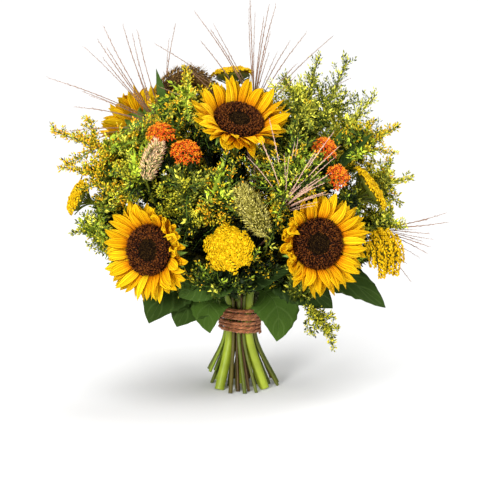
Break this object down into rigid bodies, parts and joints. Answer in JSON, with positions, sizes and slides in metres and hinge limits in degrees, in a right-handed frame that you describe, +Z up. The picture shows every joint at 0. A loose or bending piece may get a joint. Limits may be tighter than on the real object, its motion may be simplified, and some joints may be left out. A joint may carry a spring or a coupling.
{
  "type": "hand-tied bouquet of sunflowers and meadow flowers",
  "caption": "Round hand-tied bouquet of sunflowers with yarrow, milkweed, goldenrod, foxtail and plume grasses, bound with twine and standing on its cut stems.",
  "frame": {"origin": "centre of the bounding box in plan, on the floor that the cut stems stand on", "axes": "+Z up along the bundle, +X to the right seen from the front, the front with the fullest flowers faces -Y"},
  "size_m": [0.4722, 0.303, 0.4695],
  "materials": {
    "twine": "coarse brown jute, matt and fibrous",
    "ray_florets": "golden yellow, satin, orange towards the foot, fine lengthwise veins",
    "disc_florets": "dark maroon brown tubular florets round a darker, unopened eye",
    "sunflower_green": "fresh green, hairy stems, veined leaves and bracts",
    "yarrow_florets": "dense tiny florets, deep yellow, matt",
    "milkweed_flowers": "small crowned flowers, orange to orange red",
    "stem_green": "slim green stems, fine ribs",
    "goldenrod_sprays": "tiny yellow florets on green branches",
    "bud_sprays": "unopened lime green buds on fine branches",
    "foxtail_green": "pale olive bristles",
    "foxtail_brown": "dark brown seed head, short bristles",
    "pink_buds": "cream and pink buds",
    "dry_grass": "thin straw coloured to pinkish brown whips",
    "leaf_green": "dark green leaves with lighter veins"
  },
  "bodies": {
    "root": {"bud_shoot_right": "bud_sprays", "bud_shoot_top": "bud_sprays", "bud_shoot_top_right": "bud_sprays", "bud_spike_pink": "pink_buds", "foxtail_brown": "foxtail_brown", "foxtail_green": "foxtail_green", "goldenrod_back": "goldenrod_sprays", "goldenrod_back_left": "goldenrod_sprays", "goldenrod_back_right": "goldenrod_sprays", "goldenrod_centre": "goldenrod_sprays", "goldenrod_centre_right": "goldenrod_sprays", "goldenrod_far_left": "goldenrod_sprays", "goldenrod_hanging": "goldenrod_sprays", "goldenrod_inner_left": "goldenrod_sprays", "goldenrod_left": "goldenrod_sprays", "goldenrod_left_low": "goldenrod_sprays", "goldenrod_mid_left": "goldenrod_sprays", "goldenrod_right": "goldenrod_sprays", "goldenrod_right_high": "goldenrod_sprays", "goldenrod_right_low": "goldenrod_sprays", "goldenrod_top_left": "goldenrod_sprays", "leafy_stem_back": "leaf_green", "leafy_stem_front": "leaf_green", "leafy_stem_right": "leaf_green", "milkweed_centre_stem": "stem_green", "milkweed_centre_umbel": "milkweed_flowers", "milkweed_left_stem": "stem_green", "milkweed_left_umbel": "milkweed_flowers", "milkweed_right_stem": "stem_green", "milkweed_right_umbel": "milkweed_flowers", "milkweed_right_umbel_2": "milkweed_flowers", "plume_grass_centre": "dry_grass", "plume_grass_left": "dry_grass", "plume_grass_right": "dry_grass", "plume_grass_top": "dry_grass", "sunflower_back_disc": "disc_florets", "sunflower_back_rays": "ray_florets", "sunflower_back_stem": "sunflower_green", "sunflower_left_disc": "disc_florets", "sunflower_left_rays": "ray_florets", "sunflower_left_stem": "sunflower_green", "sunflower_right_disc": "disc_florets", "sunflower_right_rays": "ray_florets", "sunflower_right_stem": "sunflower_green", "sunflower_top_disc": "disc_florets", "sunflower_top_rays": "ray_florets", "sunflower_top_stem": "sunflower_green", "twine_wrap": "twine", "yarrow_front_head": "yarrow_florets", "yarrow_front_stem": "stem_green", "yarrow_left_head": "yarrow_florets", "yarrow_left_stem": "stem_green", "yarrow_right_high_head": "yarrow_florets", "yarrow_right_high_stem": "stem_green", "yarrow_right_low_head": "yarrow_florets", "yarrow_right_low_stem": "stem_green", "yarrow_top_head": "yarrow_florets", "yarrow_top_stem": "stem_green"}
  },
  "joints": []
}
